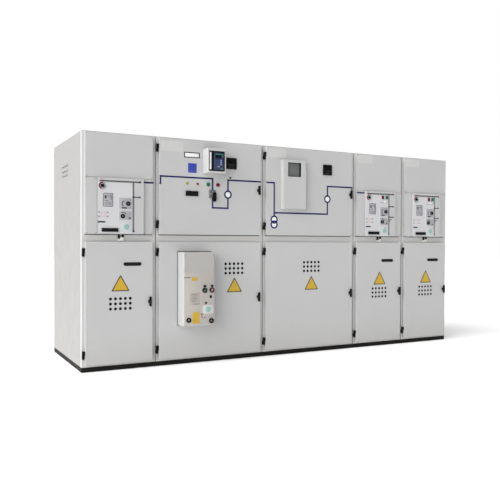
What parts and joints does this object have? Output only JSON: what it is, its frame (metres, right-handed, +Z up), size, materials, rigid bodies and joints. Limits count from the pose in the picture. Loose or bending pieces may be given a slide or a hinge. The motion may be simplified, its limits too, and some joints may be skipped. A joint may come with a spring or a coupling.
{
  "type": "medium voltage switchgear",
  "caption": "Floor-standing row of light grey medium-voltage switchgear cubicles with hinged cable doors, wing knobs, a side-mounted breaker front and an instrument panel.",
  "frame": {"origin": "on the floor, at the middle of the row, on the underside of the front plinth rail", "axes": "+X along the row towards its right end, +Y into the depth away from the doors, +Z up"},
  "size_m": [3.808, 1.252, 1.88],
  "materials": {
    "black_metal": "black coated die casting",
    "black_plastic": "moulded black plastic",
    "clear_pane": "dark clear pane",
    "door_grey": "light grey smooth powder coat",
    "galvanised": "galvanised steel",
    "green_plastic": "green moulded plastic",
    "grey_plastic": "grey moulded plastic",
    "housing_grey": "light grey textured powder coat",
    "plate_grey": "grey coated plate",
    "plinth_black": "matt black paint",
    "red_plastic": "red moulded plastic",
    "white_plastic": "white moulded plastic",
    "yellow_paint": "yellow sheet metal"
  },
  "bodies": {
    "cabinet": {"annunciator": "black_plastic", "breaker_cover_plate": "plate_grey", "breaker_fittings": "black_plastic", "breaker_flags": "yellow_paint", "breaker_housing": "door_grey", "breaker_stand": "galvanised", "control_switch_handle": "grey_plastic", "control_switch_plate": "grey_plastic", "drive_covers": "door_grey", "drive_face_plates": "plate_grey", "drive_sockets": "black_plastic", "filler_plates": "door_grey", "fixed_hinge_halves": "black_metal", "floor_plates": "galvanised", "front_posts": "housing_grey", "front_rails": "housing_grey", "green_buttons": "green_plastic", "instrument_door_2": "door_grey", "instrument_door_3": "door_grey", "interlock_brackets": "black_metal", "interlock_tabs": "white_plastic", "left_end_wall": "housing_grey", "left_side_walls": "housing_grey", "panel_meters": "black_plastic", "plinth_cross_rails": "plinth_black", "plinth_long_rails": "plinth_black", "position_dials": "white_plastic", "rear_panels": "housing_grey", "recorder_case": "white_plastic", "recorder_screen": "clear_pane", "red_buttons": "red_plastic", "relay_case": "grey_plastic", "relay_face": "black_plastic", "right_side_walls": "housing_grey", "roof_panels": "housing_grey", "shelf_plates": "galvanised", "signal_lamps": "yellow_paint", "top_covers": "door_grey", "upper_hinges": "black_metal", "upper_knobs": "black_plastic", "voltage_indicators": "black_plastic"},
    "cable_door_1_body": {"cable_door_1": "door_grey", "door_hinge_halves_1": "black_metal", "inspection_window_1": "black_plastic"},
    "wing_knob_1_body": {"wing_knob_1": "black_plastic"},
    "cable_door_2_body": {"cable_door_2": "door_grey", "door_hinge_halves_2": "black_metal"},
    "wing_knob_2_body": {"wing_knob_2": "black_plastic"},
    "cable_door_3_body": {"cable_door_3": "door_grey", "door_hinge_halves_3": "black_metal"},
    "wing_knob_3_body": {"wing_knob_3": "black_plastic"},
    "cable_door_4_body": {"cable_door_4": "door_grey", "door_hinge_halves_4": "black_metal", "inspection_window_4": "black_plastic"},
    "wing_knob_4_body": {"wing_knob_4": "black_plastic"},
    "cable_door_5_body": {"cable_door_5": "door_grey", "door_hinge_halves_5": "black_metal", "inspection_window_5": "black_plastic"},
    "wing_knob_5_body": {"wing_knob_5": "black_plastic"}
  },
  "joints": [
    {"name": "cable_door_1_hinge", "type": "hinge", "parent": "cabinet", "child": "cable_door_1_body", "pos_m": [-1.891, -0.045, 0.5], "axis": [0, 0, -1], "range_deg": [0, 100]},
    {"name": "cable_door_2_hinge", "type": "hinge", "parent": "cabinet", "child": "cable_door_2_body", "pos_m": [-1.291, -0.045, 0.5], "axis": [0, 0, -1], "range_deg": [0, 100]},
    {"name": "cable_door_3_hinge", "type": "hinge", "parent": "cabinet", "child": "cable_door_3_body", "pos_m": [-0.291, -0.045, 0.5], "axis": [0, 0, -1], "range_deg": [0, 100]},
    {"name": "cable_door_4_hinge", "type": "hinge", "parent": "cabinet", "child": "cable_door_4_body", "pos_m": [0.709, -0.045, 0.5], "axis": [0, 0, -1], "range_deg": [0, 100]},
    {"name": "cable_door_5_hinge", "type": "hinge", "parent": "cabinet", "child": "cable_door_5_body", "pos_m": [1.309, -0.045, 0.5], "axis": [0, 0, -1], "range_deg": [0, 100]},
    {"name": "wing_knob_1_turn", "type": "hinge", "parent": "cable_door_1_body", "child": "wing_knob_1_body", "pos_m": [-1.358, -0.072, 0.5375], "axis": [0, -1, 0], "range_deg": [0, 90]},
    {"name": "wing_knob_2_turn", "type": "hinge", "parent": "cable_door_2_body", "child": "wing_knob_2_body", "pos_m": [-0.358, -0.072, 0.5375], "axis": [0, -1, 0], "range_deg": [0, 90]},
    {"name": "wing_knob_3_turn", "type": "hinge", "parent": "cable_door_3_body", "child": "wing_knob_3_body", "pos_m": [0.642, -0.072, 0.5375], "axis": [0, -1, 0], "range_deg": [0, 90]},
    {"name": "wing_knob_4_turn", "type": "hinge", "parent": "cable_door_4_body", "child": "wing_knob_4_body", "pos_m": [1.242, -0.072, 0.5375], "axis": [0, -1, 0], "range_deg": [0, 90]},
    {"name": "wing_knob_5_turn", "type": "hinge", "parent": "cable_door_5_body", "child": "wing_knob_5_body", "pos_m": [1.842, -0.072, 0.5375], "axis": [0, -1, 0], "range_deg": [0, 90]}
  ]
}
